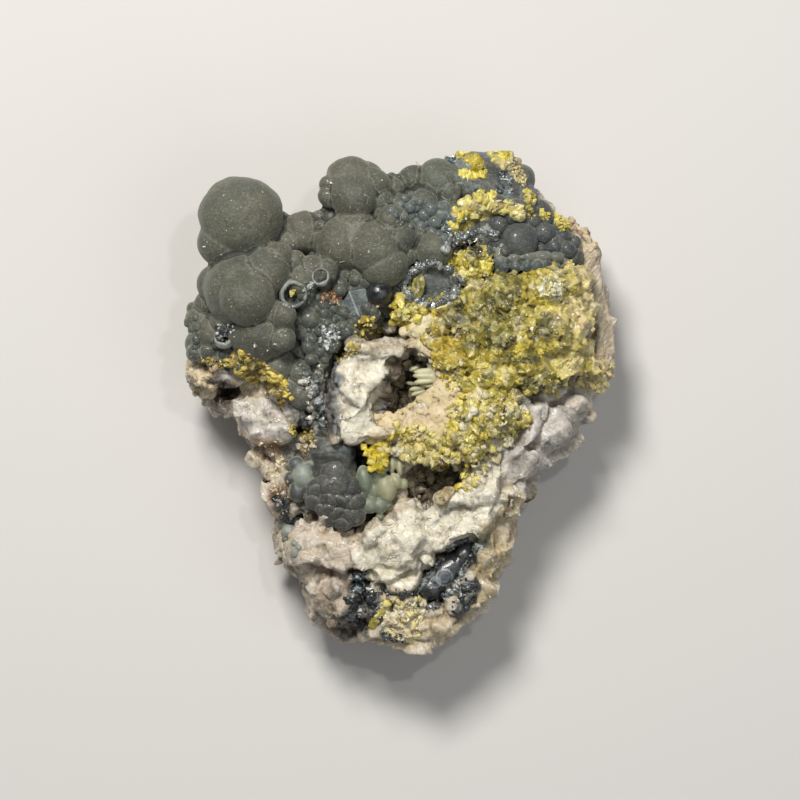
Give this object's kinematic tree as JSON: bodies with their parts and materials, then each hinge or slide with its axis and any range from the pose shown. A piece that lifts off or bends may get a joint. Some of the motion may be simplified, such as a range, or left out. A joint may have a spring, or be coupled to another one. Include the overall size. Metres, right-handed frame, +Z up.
{
  "type": "plumbogummite specimen",
  "caption": "Hand specimen of grey-green botryoidal plumbogummite and a yellow granular crust on white quartz, lying on its sawn back.",
  "frame": {"origin": "middle of the underside of the specimen's box, on the surface that it lies on", "axes": "+Z up out of the crystal side, +Y along the length toward the broad end with the crusts, +X to the right seen from above"},
  "size_m": [0.0606, 0.0702, 0.0306],
  "materials": {
    "quartz": "broken white to beige quartz, waxy to dull",
    "plumbogummite": "grey-green botryoidal crust, waxy and matte",
    "pale_plumbogummite": "dark grey to pale blue-green lobes, waxy",
    "pyromorphite": "yellow to olive granular crystals, resinous lustre",
    "black_lens": "glossy black",
    "vug_crystal": "brown and cream crystals, glossy"
  },
  "bodies": {
    "root": {"quartz_matrix": "quartz", "plumbogummite_crust": "plumbogummite", "lower_crust": "pale_plumbogummite", "yellow_crust": "pyromorphite", "yellow_nugget": "pyromorphite", "black_lens": "black_lens", "upper_vug_crystals": "vug_crystal", "lower_vug_crystals": "vug_crystal"}
  },
  "joints": []
}
